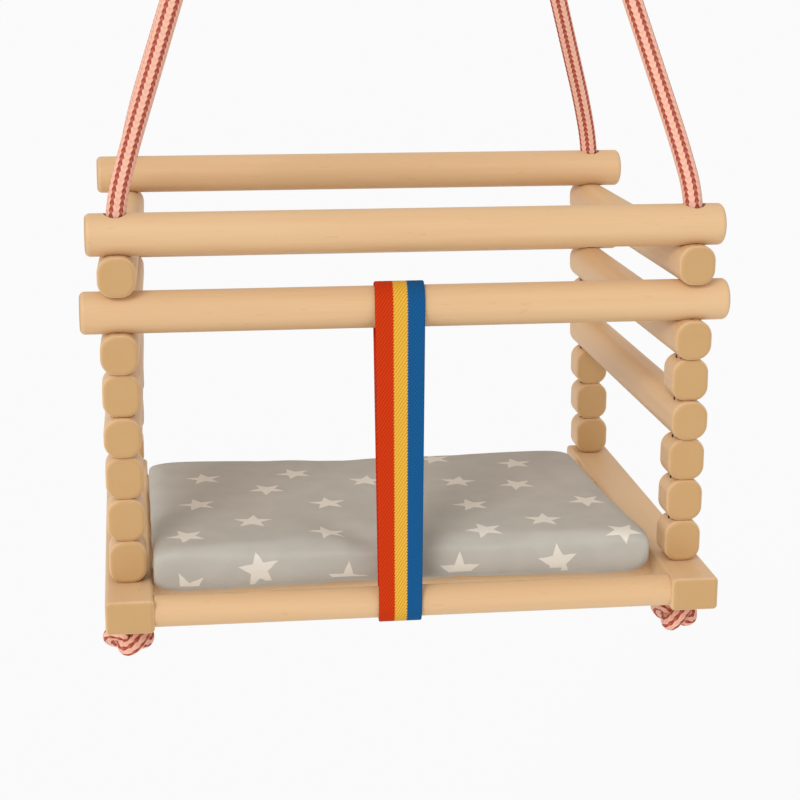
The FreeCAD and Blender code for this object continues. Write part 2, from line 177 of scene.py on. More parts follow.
ROPE_WIDE, ROPE_DEEP = 0.0057, 0.0046  # half width and half depth of the flattish rope
ROPE_STRIPES = 6  # red stripes around the rope
ROPE_COLUMNS = 2 * ROPE_STRIPES  # lengthwise columns of stitches around the rope
ROPE_STITCH = 0.0036  # length of a stitch
ROPE_RELIEF = 0.0006  # depth between the stitches
ROPE_AROUND, ROPE_STEP = 48, 0.0009  # points around the rope, and the distance between its rings
STITCH_FALL = 0.96  # how far a column or a stitch falls off to its edges
STITCH_SLANT = 0.55  # how far a stitch leans, in stitches
COLUMN_SHARE = 0.55  # share of the relief that the columns make, and the stitches the rest


def ridge(share):
    """Height of a round ridge, 1 in its middle, by the share of the way across it."""
    return np.sqrt(1 - (2 * share - 1) ** 2 * STITCH_FALL)


def stitch_relief(turn, along):
    """Height of the knitted rope's surface, from 0 to 1, by turn around it and length along it."""
    across = (turn * ROPE_COLUMNS) % 1.0
    odd = np.floor(turn * ROPE_COLUMNS) % 2
    slant = np.where(odd > 0, across, 1 - across)
    phase = (along / ROPE_STITCH + STITCH_SLANT * slant) % 1.0
    return COLUMN_SHARE * ridge(across) + (1 - COLUMN_SHARE) * ridge(phase)


def rope_rings(points, along, scale, turned):
    """Rings of surface points around a rope's line."""
    sides, others = carried_frames(points)
    turn = np.arange(ROPE_AROUND) / ROPE_AROUND
    angle = 2 * math.pi * turn[None, :]
    relief = (stitch_relief(turn[None, :] + turned, along[:, None]) - 1) * ROPE_RELIEF
    wide = (ROPE_WIDE * scale + relief) * np.cos(angle)
    deep = (ROPE_DEEP * scale + relief) * np.sin(angle)
    across = sides[:, None, :] * wide[:, :, None] + others[:, None, :] * deep[:, :, None]
    return points[:, None, :] + across


def rope_faces(along, turned):
    """Faces of a rope and its two ends, and the stitch coordinates of their corners."""
    rings = len(along)
    faces = ring_quads(rings, ROPE_AROUND)
    uvs = []
    for low, high in zip(along, along[1:]):
        for j in range(ROPE_AROUND):
            left, right = j / ROPE_AROUND + turned, (j + 1) / ROPE_AROUND + turned
            uvs += [(left, low), (right, low), (right, high), (left, high)]
    last = (rings - 1) * ROPE_AROUND
    first_middle = rings * ROPE_AROUND
    for j in range(ROPE_AROUND):
        k = (j + 1) % ROPE_AROUND
        faces.append((k, j, first_middle))
        faces.append((last + j, last + k, first_middle + 1))
        uvs += [(0.0, 0.0)] * 6
    return faces, uvs


def knitted_rope(name, line, scale=1.0, twist=0.0, start=0.0):
    """A rope of knitted stitches along a line, with its stitch coordinates in a UV map.

    It is turned by twist, in stripes, and start is the length of rope that lies before it.
    """
    points, along = evenly(line, ROPE_STEP)
    turned = twist / ROPE_STRIPES
    rings = rope_rings(points, along + start, scale, turned)
    verts = np.concatenate([rings.reshape(-1, 3), points[:1], points[-1:]])
    faces, uvs = rope_faces(along + start, turned)
    return add_mesh(name, verts, faces, "stitches", uvs)


# ---- the four ropes ----

# Rope columns and routes, as the CAD model has them.
SEAT_UNDER = -0.820  # underside of the seat boards
COLUMN_X = 0.16275  # the middle of a column, left or right of the swing's middle
COLUMN_FRONT, COLUMN_BACK = -0.1035, 0.1315  # depth of the front and back columns
RAIL_RISE = 0.220  # from the underside of the boards up to the middle of the top rails
ROPE_FIRST, ROPE_SECOND = 0.235, 0.266  # heights of the two bends above the underside
ROPE_NEAR = 0.033  # distance from a bend to the next point on a long straight run
ROPE_TOP = -0.100  # underside of the binding, where the ropes end
ROPE_CLUSTER = 0.0064  # half spacing of the four ropes there
# Side, depth, outward lean up to the top rail, inward lean at the second bend, lifting rail.
CORNERS = {
    "front_left": (-1, COLUMN_FRONT, 0.0018, 0.0105, "front_rail"),
    "front_right": (1, COLUMN_FRONT, 0.0018, 0.0105, "front_rail"),
    "back_left": (-1, COLUMN_BACK, -0.0058, 0.0085, "back_rail"),
    "back_right": (1, COLUMN_BACK, -0.0058, 0.0085, "back_rail"),
}
# How far the stripes of each rope are turned, in stripes.
ROPE_TWIST = {"front_left": 0.50, "front_right": 0.78, "back_left": 0.50, "back_right": 0.25}


def column_point(corner, rise):
    """Point on a rope column, which leans a little, at a height above the boards' underside."""
    x_side, y, spread = CORNERS[corner][:3]
    return Vector(((COLUMN_X + spread * rise / RAIL_RISE) * x_side, y, SEAT_UNDER + rise))


def rope_line(corner):
    """The smooth line of one rope, from its knot under the board up to the binding."""
    x_side, y, _, lean, _ = CORNERS[corner]
    second = column_point(corner, ROPE_SECOND)
    second -= Vector((second.x, second.y, 0)).normalized() * lean
    top = Vector((ROPE_CLUSTER * x_side, math.copysign(ROPE_CLUSTER, y), ROPE_TOP))
    below = [column_point(corner, rise) for rise in (0.0, ROPE_FIRST - ROPE_NEAR, ROPE_FIRST)]
    after = second + (top - second).normalized() * ROPE_NEAR
    return spline_through([*below, second, after, top])


def make_rope(corner):
    """One rope in two stretches that meet inside its top rail."""
    line = rope_line(corner)
    meet = column_point(corner, RAIL_RISE)
    below = line[line[:, 2] <= meet.z]
    above = np.concatenate([below[-1:], line[line[:, 2] > meet.z]])
    twist = ROPE_TWIST[corner]
    lower = knitted_rope("rope_%s_lower" % corner, below, twist=twist)
    upper = knitted_rope("rope_%s_upper" % corner, above, twist=twist, start=line_length(below))
    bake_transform(lower)
    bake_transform(upper)
    for piece in (lower, upper):
        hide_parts("rope_" + corner)
    return [(lower, below), (upper, above)]


# ---- knots, eye and binding ----

# Overhand knots under the boards: half width, half depth and half height of each, and its turn.
KNOT_FORM = {
    "front_left": (0.0172, 0.0150, 0.0078, 0.3),
    "front_right": (0.0162, 0.0155, 0.0086, 1.9),
    "back_left": (0.0168, 0.0152, 0.0080, 3.1),
    "back_right": (0.0165, 0.0150, 0.0084, 4.4),
}
KNOT_ROPE = 0.86  # how far the rope is squeezed in a tight knot
KNOT_FLAT = 0.8  # how far the strands are pressed flat at its top and bottom
KNOT_END = 0.005  # length of the straight end above it
KNOT_POINTS = 22


def knot_line(low, high, form):
    """The line of a flattened overhand knot that hangs on a short straight end of rope."""
    wide, deep, tall, turn = form
    centre = (low + high) / 2
    centre.z = low.z + tall
    squeeze = ROPE_WIDE * KNOT_ROPE
    spin = Matrix.Rotation(turn, 3, "Z")
    points = [Vector((centre.x, centre.y, z)) for z in (high.z, high.z - KNOT_END)]
    for i in range(KNOT_POINTS):
        t = 2 * math.pi * (i + 0.5) / KNOT_POINTS
        x = (math.sin(t) + 2 * math.sin(2 * t)) / 3 * (wide - squeeze)
        y = (math.cos(t) - 2 * math.cos(2 * t)) / 3 * (deep - squeeze)
        z = -math.sin(3 * t) * (tall - squeeze * KNOT_FLAT)
        points.append(centre + spin @ Vector((x, y, z)))
    return spline_through(points)


def make_knot(corner):
    """The stopper knot at the lower end of one rope."""
    low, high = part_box("knot_" + corner)
    line = knot_line(low, high, KNOT_FORM[corner])
    knot = knitted_rope("overhand_knot_" + corner, line, scale=KNOT_ROPE)
    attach(knot, "seat")
    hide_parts("knot_" + corner)
    return knot


EYE_REACH = 0.01145  # from the wire's middle to the rope's: the wire, a clearance and half a rope
EYE_WIRE = -0.0293  # height of the wire's middle inside the eye
EYE_FOOT = -0.066  # just inside the top of the binding
EYE_ROPE = 0.9  # how far the rope is squeezed over the wire


def make_eye():
    """Two rope bights over the ring's wire."""
    made = []
    for name, x in (("left", -ROPE_CLUSTER), ("right", ROPE_CLUSTER)):
        third = (EYE_WIRE - EYE_FOOT) / 3
        half = [
            (x, -ROPE_CLUSTER, EYE_FOOT),
            (x, -ROPE_CLUSTER, EYE_FOOT + third),
            (x, -EYE_REACH, EYE_WIRE - third),
            (x, -EYE_REACH, EYE_WIRE + EYE_REACH),
        ]
        crown = [(x, 0, EYE_WIRE + EYE_REACH)]
        points = half + crown + [(px, -py, pz) for px, py, pz in reversed(half)]
        bight = knitted_rope("rope_eye_" + name, spline_through(points), scale=EYE_ROPE)
        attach(bight, "seat")
        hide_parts("rope_eye")
        made.append(bight)
    return made


WHIP_PITCH = 0.0024  # height of one turn of twine
WHIP_GROOVE = 0.0011  # depth between two turns
WHIP_SHOULDER = 0.003  # radius of the binding's upper and lower edge
WHIP_AROUND, WHIP_PER_TURN = 96, 10  # points around the binding, and rings to each turn


def whipping_sink(below, above, turn):
    """How far the whipping lies inside its full radius, by the heights below and above."""
    ease = min(1.0, below / WHIP_SHOULDER, above / WHIP_SHOULDER)
    shoulder = WHIP_SHOULDER * (1 - math.sqrt(max(0.0, 1 - (1 - ease) ** 2)))
    phase = (below / WHIP_PITCH + turn) % 1.0
    groove = WHIP_GROOVE * (1 - math.sqrt(max(0.0, 1 - (2 * phase - 1) ** 2)))
    return shoulder + groove


def make_binding():
    """Whipping twine wound in close turns around the four ropes."""
    low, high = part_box("rope_binding")
    radius = (high.x - low.x) / 2
    rows = int((high.z - low.z) / WHIP_PITCH * WHIP_PER_TURN)
    verts = []
    for i in range(rows + 1):
        z = low.z + (high.z - low.z) * i / rows
        for j in range(WHIP_AROUND):
            turn = j / WHIP_AROUND
            r = radius - whipping_sink(z - low.z, high.z - z, turn)
            verts.append((r * math.cos(2 * math.pi * turn), r * math.sin(2 * math.pi * turn), z))
    faces = ring_quads(rows + 1, WHIP_AROUND)
    faces.append(tuple(range(WHIP_AROUND - 1, -1, -1)))
    faces.append(tuple(rows * WHIP_AROUND + j for j in range(WHIP_AROUND)))
    binding = add_mesh("twine_whipping", verts, faces)
    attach(binding, "seat")
    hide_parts("rope_binding")
    return binding


# ---- seat cushion ----

CUSHION_INSET = 0.002  # the pad starts smaller, as it swells
CUSHION_VOXEL = 0.005  # size of the remeshed faces
CUSHION_CORNER, CUSHION_EDGE = 0.012, 0.007  # bevels of its upright corners and upper edges
CUSHION_PRESSURE, CUSHION_FRAMES = 4.0, 20  # of the cloth simulation
CUSHION_TRAVEL = 0.006  # farthest that a point may move
CUSHION_THIN = 0.0025  # how much thinner the pad is at its back
CUSHION_EVEN = 0.35  # share of its depth, from the front, that is of full thickness
CUSHION_CURVE = 1.3  # power of the curve by which it then gets thinner
CUSHION_TAPER = 0.009  # how far its right side draws in towards its back
CUSHION_SAG = 0.0072  # how far its front lower edge hangs between the first two dowels
CUSHION_HANG, CUSHION_HANG_EASE = 0.020, 0.012  # depth of the edge that hangs, and of its bend
CUSHION_UNDER = 0.010  # the height over which the sag fades out
# How far the pad is pressed against the sides, underside and top of its room, and how softly.
PRESS_SIDE, PRESS_UNDER, PRESS_TOP, PRESS_EASE = 0.004, 0.0045, 0.0015, 0.002
CREASE_FROM, CREASE_TO = (-0.052, -0.066), (-0.014, -0.116)  # a soft fold beside the strap
CREASE_WIDTH, CREASE_DEPTH = 0.0125, 0.0036  # its half width and its depth
CREASE_BEFORE, CREASE_AFTER = 0.012, 0.020  # how far it runs on past both places
CREASE_FADE = 0.008  # height over the underside where the fold starts; it is full at twice this
PRINT_FRONT = 0.012  # depth of the front edge that the print is wrapped down over
PRINT_UNDER = -0.5  # a face that looks farther down than this is underside
PRINT_NOWHERE = 1.0  # a place with no stars


def slab_points(low, high):
    """Corner points of a slab that gets thinner towards its back."""
    top = {low.y: high.z, high.y: high.z - CUSHION_THIN}
    return [
        (x, y, z)
        for x in (low.x, high.x)
        for y in (low.y, high.y)
        for z in (low.z, top[y])
    ]


def slab_mesh(low, high):
    """A slab with round upright corners and eased upper edges, ready to be remeshed."""
    build = bmesh.new()
    for point in slab_points(low, high):
        build.verts.new(point)
    bmesh.ops.convex_hull(build, input=build.verts[:])
    bmesh.ops.dissolve_limit(build, angle_limit=0.01, verts=build.verts[:], edges=build.edges[:])
    middle = (low.z + high.z) / 2
    upright = [e for e in build.edges if len({v.co.z > middle for v in e.verts}) == 2]
    shape = {"affect": "EDGES", "profile": 0.5}
    bmesh.ops.bevel(build, geom=upright, offset=CUSHION_CORNER, segments=6, **shape)
    upper = [e for e in build.edges if all(v.co.z > middle for v in e.verts)]
    bmesh.ops.bevel(build, geom=upper, offset=CUSHION_EDGE, segments=4, **shape)
    mesh = bpy.data.meshes.new("star_cushion")
    build.to_mesh(mesh)
    build.free()
    return mesh


def apply_modifiers(obj):
    """Turn an object's modifiers into plain mesh."""
    graph = bpy.context.evaluated_depsgraph_get()
    mesh = bpy.data.meshes.new_from_object(obj.evaluated_get(graph))
    obj.modifiers.clear()
    obj.data = mesh


def inflate(obj):
    """Swell a pad by cloth simulation, with a limit on how far any point moves."""
    rest = read_points(obj)
    cloth = obj.modifiers.new("cloth", "CLOTH")
    cloth.settings.use_pressure = True
    cloth.settings.uniform_pressure_force = CUSHION_PRESSURE
    cloth.settings.effector_weights.gravity = 0.0
    cloth.settings.tension_stiffness = 30
    cloth.settings.compression_stiffness = 30
    cloth.settings.bending_stiffness = 1.5
    for step in range(1, CUSHION_FRAMES + 1):
        scene.frame_set(step)
    apply_modifiers(obj)
    scene.frame_set(1)
    moved = read_points(obj) - rest
    length = np.linalg.norm(moved, axis=1)
    scale = np.minimum(1.0, CUSHION_TRAVEL / np.maximum(length, 1e-9))
    write_points(obj, rest + moved * scale[:, None])


def held_under(values, limit):
    """Values that ease off as they near a limit from below, and end just above it."""
    gap = limit - values
    return limit - 0.5 * (gap + np.sqrt(gap**2 + PRESS_EASE**2)) + 0.2 * PRESS_EASE


def fitted(values, low, high, press_low, press_high):
    """Stretch values a little past a range, then ease them back inside it."""
    share = (values - values.min()) / (values.max() - values.min())
    wide = low - press_low + share * (high - low + press_low + press_high)
    above = -held_under(-wide, -low)
    return np.clip(held_under(above, high), low, high)


def crease_depth(x, y):
    """Depth of the soft fold in the pad's top at a place."""
    ax, ay = CREASE_FROM
    bx, by = CREASE_TO
    length = math.hypot(bx - ax, by - ay)
    along = ((x - ax) * (bx - ax) + (y - ay) * (by - ay)) / length
    across = ((x - ax) * (by - ay) - (y - ay) * (bx - ax)) / length
    share = np.clip((along + CREASE_BEFORE) / (CREASE_BEFORE + length + CREASE_AFTER), 0, 1)
    return CREASE_DEPTH * np.exp(-((across / CREASE_WIDTH) ** 2)) * np.sin(math.pi * share) ** 2


def settle(points, low, high):
    """Rest the pad on its dowels, hold it clear of its neighbours and press in its fold."""
    x, y, z = points.T
    x = fitted(x, low.x, high.x, PRESS_SIDE, PRESS_SIDE)
    y = fitted(y, low.y, high.y, PRESS_SIDE, PRESS_SIDE)
    z = fitted(z, low.z, high.z, PRESS_UNDER, PRESS_TOP)
    depth = (y - low.y) / (high.y - low.y)
    x -= CUSHION_TAPER * depth * np.clip(x / high.x, 0, 1)
    thinned = np.clip((depth - CUSHION_EVEN) / (1 - CUSHION_EVEN), 0, 1) ** CUSHION_CURVE
    z = held_under(z, high.z - CUSHION_THIN * thinned)
    under = np.clip((low.z + CUSHION_UNDER - z) / CUSHION_UNDER, 0, 1)
    z = np.maximum(z, low.z)
    hang = np.clip((low.y + CUSHION_HANG - y) / CUSHION_HANG_EASE, 0, 1)
    z -= CUSHION_SAG * under * hang**2 * (3 - 2 * hang)
    z -= crease_depth(x, y) * np.clip((z - low.z - CREASE_FADE) / CREASE_FADE, 0, 1)
    return np.stack([x, y, z], 1)


def print_layer(obj, low, high):
    """Coordinates for the star print, wrapped from the top down over the front, in a UV map."""
    x, y, z = read_points(obj).T
    normals = np.empty(len(obj.data.vertices) * 3, np.float32)
    obj.data.vertices.foreach_get("normal", normals)
    wrapped = y - (high.z - z) * (y < low.y + PRINT_FRONT)
    wrapped[normals[2::3] < PRINT_UNDER] = PRINT_NOWHERE
    layer = obj.data.uv_layers.new(name="print")
    corners = np.empty(len(obj.data.loops), np.int32)
    obj.data.loops.foreach_get("vertex_index", corners)
    places = np.stack([x[corners], wrapped[corners]], 1)
    layer.data.foreach_set("uv", places.astype(np.float32).ravel())


def make_cushion():
    """The padded seat cushion, swelled from a slab and settled on the seat."""
    low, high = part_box("cushion_cover")
    inset = Vector((1, 1, 1)) * CUSHION_INSET
    pad = bpy.data.objects.new("star_cushion", slab_mesh(low + inset, high - inset))
    scene.collection.objects.link(pad)
    remesh = pad.modifiers.new("remesh", "REMESH")
    remesh.mode = "VOXEL"
    remesh.voxel_size = CUSHION_VOXEL
    apply_modifiers(pad)
    inflate(pad)
    pad.modifiers.new("smooth", "SUBSURF").levels = 1
    apply_modifiers(pad)
    write_points(pad, settle(read_points(pad), low, high))
    print_layer(pad, low, high)
    pad.data.shade_smooth()
    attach(pad, "seat")
    for node in ("cushion_cover", "cushion_foam"):
        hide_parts(node)
    return pad


# ---- crotch strap ----

STRAP_HIGH = (COLUMN_FRONT, SEAT_UNDER + 0.176, 0.0125)  # depth, height and radius of a turn
STRAP_LOW = (COLUMN_FRONT - 0.0315, SEAT_UNDER + 0.00975, 0.0095)
STRAP_GAP = 0.0001  # between the strap and the rail or dowel that it goes round
STRAP_THICK = 0.0018
STRAP_TOP_WIDTH, STRAP_BOTTOM_WIDTH = 0.0286, 0.0248
STRAP_TOP_SHIFT, STRAP_BOTTOM_SHIFT = 0.0014, -0.0014  # from the middle of the CAD strap
STRAP_BACK_SHIFT = 0.0021  # how much farther right the back run hangs
STRAP_ACROSS, STRAP_STEP = 40, 0.0008  # points across a face, and the distance between rings
STRAP_ARC, STRAP_EDGE = 40, 6  # steps around each turn, and around each of its edges
STRAP_TWILL = 0.0017  # spacing of the twill's ribs across the strap
STRAP_RIB_RISE = 1.6  # their spacing along it, in spacings across
STRAP_RELIEF = 0.00006  # how far a rib stands out, and the groove beside it lies in


def strap_path():
    """The closed middle line of the strap loop, as points in depth and height."""
    ya, za, ra = STRAP_HIGH
    yb, zb, rb = STRAP_LOW
    ra, rb = ra + STRAP_THICK / 2 + STRAP_GAP, rb + STRAP_THICK / 2 + STRAP_GAP
    lean = math.acos((ra - rb) / math.hypot(yb - ya, zb - za))
    axis = math.atan2(zb - za, yb - ya)
    points = []
    for y, z, r, start, end in (
        (ya, za, ra, axis + lean, axis + 2 * math.pi - lean),
        (yb, zb, rb, axis - lean, axis + lean),
    ):
        for angle in np.linspace(start, end, STRAP_ARC + 1):
            points.append((y + r * math.cos(angle), z + r * math.sin(angle)))
    points.append(points[0])
    return np.array(points)


def strap_route():
    """Even points along the strap loop, the way out of the loop at each, and their lengths."""
    points, along = evenly(np.insert(strap_path(), 0, 0.0, axis=1), STRAP_STEP)
    points, along = points[:-1], along[:-1]
    tangents = np.roll(points, -1, axis=0) - np.roll(points, 1, axis=0)
    tangents /= np.linalg.norm(tangents, axis=1)[:, None]
    outward = np.stack([0 * along, tangents[:, 2], -tangents[:, 1]], 1)
    return points, outward, along


def strap_section(width):
    """Outline across the strap: its outer face, right edge, inner face and left edge in turn."""
    round_edge = STRAP_THICK / 2
    reach = width / 2 - round_edge
    turns = np.linspace(math.pi / 2, -math.pi / 2, STRAP_EDGE + 1)[1:-1]
    across = np.linspace(-reach, reach, STRAP_ACROSS)
    half = [(a, round_edge) for a in across]
    half += [(reach + round_edge * math.cos(t), round_edge * math.sin(t)) for t in turns]
    return np.concatenate([half, -np.array(half)])


def strap_ring(point, outward, middle, width, length):
    """Points around the strap at one place on its route, and their places in the weave."""
    across, off = strap_section(width).T
    twill = np.sin(2 * math.pi * (across + length / STRAP_RIB_RISE) / STRAP_TWILL)
    points = point + outward * (off + STRAP_RELIEF * twill * np.sign(off))[:, None]
    points[:, 0] += middle + across
    return points, np.stack([across / width + 0.5, np.full(len(across), length)], 1)


def strap_faces(weave, rings, step):
    """Faces of the closed loop, and the weave's coordinates at their corners."""
    around = len(weave) // rings
    faces = []
    uvs = []
    for i in range(rings):
        near, far = i * around, (i + 1) % rings * around
        for j in range(around):
            k = (j + 1) % around
            here, beside = weave[near + j], weave[near + k]
            faces.append((near + j, far + j, far + k, near + k))
            uvs += [here, here + (0, step), beside + (0, step), beside]
    return faces, uvs


def make_strap():
    """The striped webbing loop, a little wider at the rail than at the seat dowel."""
    low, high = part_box("strap")
    points, outward, along = strap_route()
    share = np.clip((points[:, 2] - STRAP_LOW[1]) / (STRAP_HIGH[1] - STRAP_LOW[1]), 0, 1)
    wide = STRAP_BOTTOM_WIDTH + (STRAP_TOP_WIDTH - STRAP_BOTTOM_WIDTH) * share
    shift = STRAP_BOTTOM_SHIFT + (STRAP_TOP_SHIFT - STRAP_BOTTOM_SHIFT) * share
    shift += STRAP_BACK_SHIFT * (1 + outward[:, 1]) / 2
    middle = (low.x + high.x) / 2 + shift
    rings = [strap_ring(*place) for place in zip(points, outward, middle, wide, along)]
    verts = np.concatenate([ring for ring, _ in rings])
    weave = np.concatenate([places for _, places in rings])
    faces, uvs = strap_faces(weave, len(rings), along[1])
    strap = add_mesh("striped_webbing", verts, faces, "weave", uvs)
    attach(strap, "strap")
    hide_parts("strap")
    return strap


# ---- materials ----


class Nodes:
    """Adds nodes to a node tree and links them."""

    def __init__(self, tree):
        self.tree = tree

    def node(self, kind, inputs=(), **settings):
        """A new node, with a number or a link to another node for each of its inputs."""
        made = self.tree.nodes.new(kind)
        for key, value in settings.items():
            setattr(made, key, value)
        for key, value in dict(inputs).items():
            if isinstance(value, bpy.types.NodeSocket):
                self.tree.links.new(value, made.inputs[key])
            elif value is not None:
                made.inputs[key].default_value = value
        return made

    def math(self, operation, a, b=None):
        """The result of a sum on one or two numbers or links."""
        return self.node("ShaderNodeMath", {0: a, 1: b}, operation=operation).outputs[0]

    def split(self, vector):
        """The three parts of a vector."""
        return self.node("ShaderNodeSeparateXYZ", {0: vector}).outputs

    def vector_math(self, operation, a, b):
        """The result of a sum on two vectors."""
        return self.node("ShaderNodeVectorMath", {0: a, 1: b}, operation=operation).outputs[0]


class Shade(Nodes):
    """Adds nodes to one new material."""

    def __init__(self, name, roughness, specular=0.35):
        self.material = bpy.data.materials.new(name)
        self.material.use_nodes = True
        super().__init__(self.material.node_tree)
        self.bsdf = self.tree.nodes["Principled BSDF"]
        self.bsdf.inputs["Roughness"].default_value = roughness
        self.bsdf.inputs["Specular IOR Level"].default_value = specular

    def coordinates(self, kind="Object"):
        """A point's place on its own object, or its normal."""
        return self.node("ShaderNodeTexCoord").outputs[kind]

    def mapped(self, vector, scale):
        """A place scaled along each axis."""
        return self.node("ShaderNodeMapping", {"Vector": vector, "Scale": scale}).outputs[0]

    def noise(self, vector, scale, detail=3.0, roughness=0.5):
        """Noise between 0 and 1, with as many spots to a metre as its scale says."""
        inputs = {"Vector": vector, "Scale": scale, "Detail": detail, "Roughness": roughness}
        return self.node("ShaderNodeTexNoise", inputs).outputs["Fac"]

    def wobble(self, vector, scale, amount):
        """A coloured noise centred on zero, as small offsets of a place."""
        inputs = {"Vector": vector, "Scale": scale, "Detail": 2.0}
        colored = self.node("ShaderNodeTexNoise", inputs).outputs["Color"]
        centred = self.vector_math("SUBTRACT", colored, (0.5, 0.5, 0.5))
        inputs = {"Vector": centred, "Scale": amount}
        return self.node("ShaderNodeVectorMath", inputs, operation="SCALE").outputs[0]

    def wave(self, vector, axis, frequency):
        """A sine wave along one axis, between -1 and 1."""
        phase = self.math("MULTIPLY", self.split(vector)[axis], 2 * math.pi * frequency)
        return self.math("SINE", phase)

    def step(self, value, low, high):
        """0 below low, 1 above high, smooth between."""
        inputs = {"Value": value, "From Min": low, "From Max": high}
        made = self.node("ShaderNodeMapRange", inputs, interpolation_type="SMOOTHSTEP")
        return made.outputs["Result"]

    def mix(self, factor, a, b):
        """The colour a where the factor is 0 and b where it is 1."""
        made = self.node("ShaderNodeMix", {0: factor}, data_type="RGBA")
        for socket, value in ((made.inputs[6], a), (made.inputs[7], b)):
            if isinstance(value, bpy.types.NodeSocket):
                self.tree.links.new(value, socket)
            else:
                socket.default_value = (*value, 1.0)
        return made.outputs[2]

    def tint(self, color, mask, amount, other):
        """A colour with some of another one laid over it where a mask is 1."""
        return self.mix(self.math("MULTIPLY", mask, amount), color, other)

    def finish(self, color, heights=()):
        """Link the colour and a chain of bumps: height, distance and strength of each."""
        self.tree.links.new(color, self.bsdf.inputs["Base Color"])
        normal = None
        for height, distance, strength in heights:
            inputs = {"Height": height, "Distance": distance, "Strength": strength}
            inputs["Normal"] = normal
            normal = self.node("ShaderNodeBump", inputs).outputs["Normal"]
        if normal is not None:
            self.tree.links.new(normal, self.bsdf.inputs["Normal"])
        return self.material


WOOD_LIGHT, WOOD_DARK = (0.700, 0.460, 0.250), (0.655, 0.415, 0.215)
WOOD_END = (0.490, 0.288, 0.112)
BAND_SCALE, FIBRE_SCALE, FLECK_SCALE = 55.0, 900.0, 620.0  # noise scales across the wood
GRAIN_STRETCH, FLECK_STRETCH = 0.045, 0.16  # the scales along it, as a share of those
# Words in the names of the pieces whose grain runs along X, and of those where it runs along Y.
GRAIN_ALONG_X = ("top_rail", "second_rail", "dowel")
GRAIN_ALONG_Y = ("side_rail", "board", "bead")


def drawn_out(axis, amount):
    """The scale that draws a pattern out along one axis."""
    scale = [1.0, 1.0, 1.0]
    scale[axis] = amount
    return scale


def make_wood(name, axis):
    """Sanded, oiled beech with its grain along one axis (0 is X, 1 is Y)."""
    shade = Shade(name, roughness=0.46, specular=0.3)
    place = shade.coordinates()
    grain_place = shade.mapped(place, drawn_out(axis, GRAIN_STRETCH))
    bands = shade.noise(grain_place, BAND_SCALE, detail=4.0, roughness=0.6)
    fibres = shade.noise(grain_place, FIBRE_SCALE, detail=2.0)
    fleck_place = shade.mapped(place, drawn_out(axis, FLECK_STRETCH))
    flecks = shade.noise(fleck_place, FLECK_SCALE, detail=1.0)
    color = shade.mix(shade.step(bands, 0.38, 0.68), WOOD_LIGHT, WOOD_DARK)
    color = shade.tint(color, fibres, 0.22, WOOD_DARK)
    color = shade.tint(color, shade.step(flecks, 0.68, 0.76), 0.20, WOOD_END)
    facing = shade.split(shade.coordinates("Normal"))[axis]
    end_grain = shade.step(shade.math("ABSOLUTE", facing), 0.55, 0.95)
    color = shade.tint(color, end_grain, 0.8, WOOD_END)
    return shade.finish(color, [(fibres, 0.0002, 0.25), (flecks, 0.0002, 0.15)])


ROPE_PALE, ROPE_PINK, ROPE_RED = (0.83, 0.48, 0.36), (0.77, 0.32, 0.21), (0.32, 0.022, 0.006)
# Half width of a red stripe and how far it is jagged, in spacings of two stripes.
STRIPE_HALF, STRIPE_JAG = 0.205, 0.045
STRIPE_SLANT = 1.6  # how far the stitches lean, in stitches over the spacing of two stripes
STRIPE_SOFT = 0.03  # half width of its blurred edge
FUZZ_SCALE = 3500.0


def make_rope_material():
    """Pale pink knitted rope with dashed red lengthwise stripes."""
    shade = Shade("knitted_rope", roughness=0.8, specular=0.2)
    parts = shade.split(shade.node("ShaderNodeUVMap", uv_map="stitches").outputs[0])
    turn, along = parts[0], parts[1]
    column = shade.math("FRACT", shade.math("MULTIPLY", turn, ROPE_STRIPES))
    from_stripe = shade.math("ABSOLUTE", shade.math("SUBTRACT", column, 0.5))
    stitch = shade.math("DIVIDE", along, ROPE_STITCH)
    slanted = shade.math("ADD", stitch, shade.math("MULTIPLY", from_stripe, STRIPE_SLANT))
    wave = shade.math("SINE", shade.math("MULTIPLY", slanted, 2 * math.pi))
    width = shade.math("ADD", STRIPE_HALF, shade.math("MULTIPLY", wave, STRIPE_JAG))
    gap = shade.math("SUBTRACT", from_stripe, width)
    stripe = shade.math("SUBTRACT", 1.0, shade.step(gap, -STRIPE_SOFT, STRIPE_SOFT))
    color = shade.tint(ROPE_PALE, shade.step(wave, -0.3, 0.8), 0.45, ROPE_PINK)
    deep = shade.math("ADD", 0.90, shade.math("MULTIPLY", wave, 0.10))
    color = shade.tint(color, stripe, deep, ROPE_RED)
    fuzz = shade.noise(shade.coordinates(), FUZZ_SCALE, detail=2.0)
    color = shade.tint(color, fuzz, 0.14, ROPE_PALE)
    return shade.finish(color, [(fuzz, 0.0003, 0.5)])


TWINE_LIGHT, TWINE_DARK = (0.80, 0.74, 0.62), (0.58, 0.50, 0.38)
TWINE_SCALE, TWINE_FLATTEN = 700.0, (1, 1, 6)


def make_twine_material():
    """Natural cotton twine."""
    shade = Shade("whipping_twine", roughness=0.85, specular=0.2)
    strands = shade.noise(shade.mapped(shade.coordinates(), TWINE_FLATTEN), TWINE_SCALE)
    color = shade.mix(shade.step(strands, 0.3, 0.7), TWINE_LIGHT, TWINE_DARK)
    return shade.finish(color, [(strands, 0.0003, 0.6)])


STEEL_LIGHT, STEEL_DARK = (0.62, 0.63, 0.65), (0.50, 0.51, 0.53)
CLOUD_SCALE, SCRATCH_SCALE, SCRATCH_THIN = 90.0, 1400.0, (1, 8, 1)


